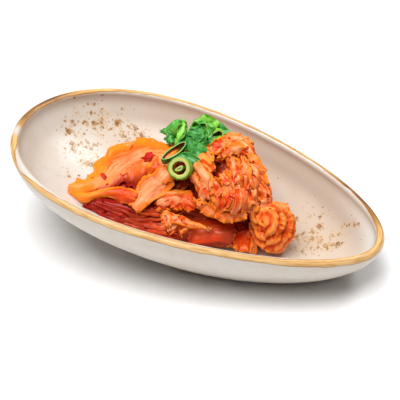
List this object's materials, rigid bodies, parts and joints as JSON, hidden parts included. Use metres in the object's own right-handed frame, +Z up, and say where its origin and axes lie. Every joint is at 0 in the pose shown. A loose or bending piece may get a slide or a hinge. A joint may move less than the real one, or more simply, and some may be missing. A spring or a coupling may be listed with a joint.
{
  "type": "bowl of kimchi",
  "caption": "Egg-shaped stoneware bowl, high at its wide end and low at its narrow end, with a heap of cut cabbage kimchi and sliced spring onion on top.",
  "frame": {"origin": "on the table, under the middle of the bowl's length and width", "axes": "+X along the bowl towards its low, narrow end; +Y towards its back; +Z up"},
  "size_m": [0.18, 0.1106, 0.0556],
  "materials": {
    "glazed_stoneware": "cream speckled glaze with a caramel-brown rim",
    "pickled_cabbage": "wet orange-red pickled cabbage",
    "spring_onion": "fresh green sliced leaf"
  },
  "bodies": {
    "root": {"bowl": "glazed_stoneware", "kimchi": "pickled_cabbage", "onion_ring_front": "spring_onion", "onion_ring_core": "spring_onion", "onion_ring_flat": "spring_onion", "onion_curl_left": "spring_onion", "onion_curl_back": "spring_onion", "onion_curl_right": "spring_onion"}
  },
  "joints": []
}
